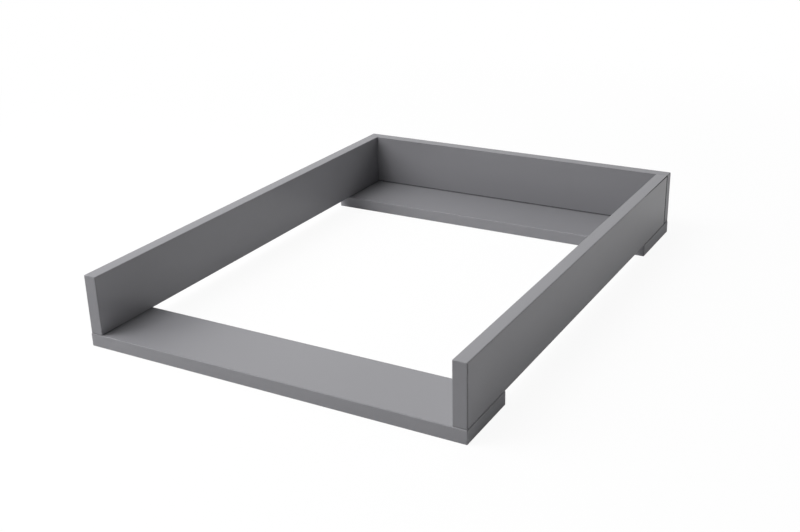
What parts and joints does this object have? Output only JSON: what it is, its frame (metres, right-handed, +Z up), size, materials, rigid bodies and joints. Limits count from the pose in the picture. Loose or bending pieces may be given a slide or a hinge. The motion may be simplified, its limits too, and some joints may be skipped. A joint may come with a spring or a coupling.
{
  "type": "changing top",
  "caption": "Three-sided changing top of grey edge-banded board with an open front, which stands on a chest of drawers and holds a changing mat.",
  "frame": {"origin": "middle of the footprint, on the underside that rests on the chest of drawers", "axes": "+X to the right as seen from the open front, +Y to the back panel, +Z up"},
  "size_m": [0.541, 0.7279, 0.0995],
  "materials": {
    "board_laminate": "particle board faced with smooth mid-grey melamine, satin matt",
    "edge_band": "mid-grey plastic edge band in the colour of the board, satin, rounded by scraping",
    "zinc_screw": "bright zinc-plated steel",
    "beech_dowel": "raw beech, fluted",
    "screw_cap": "moulded mid-grey plastic, satin"
  },
  "bodies": {
    "root": {"back_base_dowels": "beech_dowel", "back_base_screws": "zinc_screw", "back_left_dowel": "beech_dowel", "back_left_screw": "zinc_screw", "back_left_screw_cap": "screw_cap", "back_panel": "board_laminate", "back_panel_bottom_band": "edge_band", "back_panel_left_band": "edge_band", "back_panel_right_band": "edge_band", "back_panel_top_band": "edge_band", "back_right_dowel": "beech_dowel", "back_right_screw": "zinc_screw", "back_right_screw_cap": "screw_cap", "front_base_board": "board_laminate", "front_base_board_front_band": "edge_band", "front_base_board_left_band": "edge_band", "front_base_board_rear_band": "edge_band", "front_base_board_right_band": "edge_band", "front_left_dowel": "beech_dowel", "front_left_screw": "zinc_screw", "front_right_dowel": "beech_dowel", "front_right_screw": "zinc_screw", "left_side_panel": "board_laminate", "left_side_panel_bottom_band": "edge_band", "left_side_panel_front_band": "edge_band", "left_side_panel_top_band": "edge_band", "rear_base_board": "board_laminate", "rear_base_board_front_band": "edge_band", "rear_base_board_left_band": "edge_band", "rear_base_board_rear_band": "edge_band", "rear_base_board_right_band": "edge_band", "rear_left_dowel": "beech_dowel", "rear_left_screw": "zinc_screw", "rear_right_dowel": "beech_dowel", "rear_right_screw": "zinc_screw", "right_side_panel": "board_laminate", "right_side_panel_bottom_band": "edge_band", "right_side_panel_front_band": "edge_band", "right_side_panel_top_band": "edge_band"}
  },
  "joints": []
}
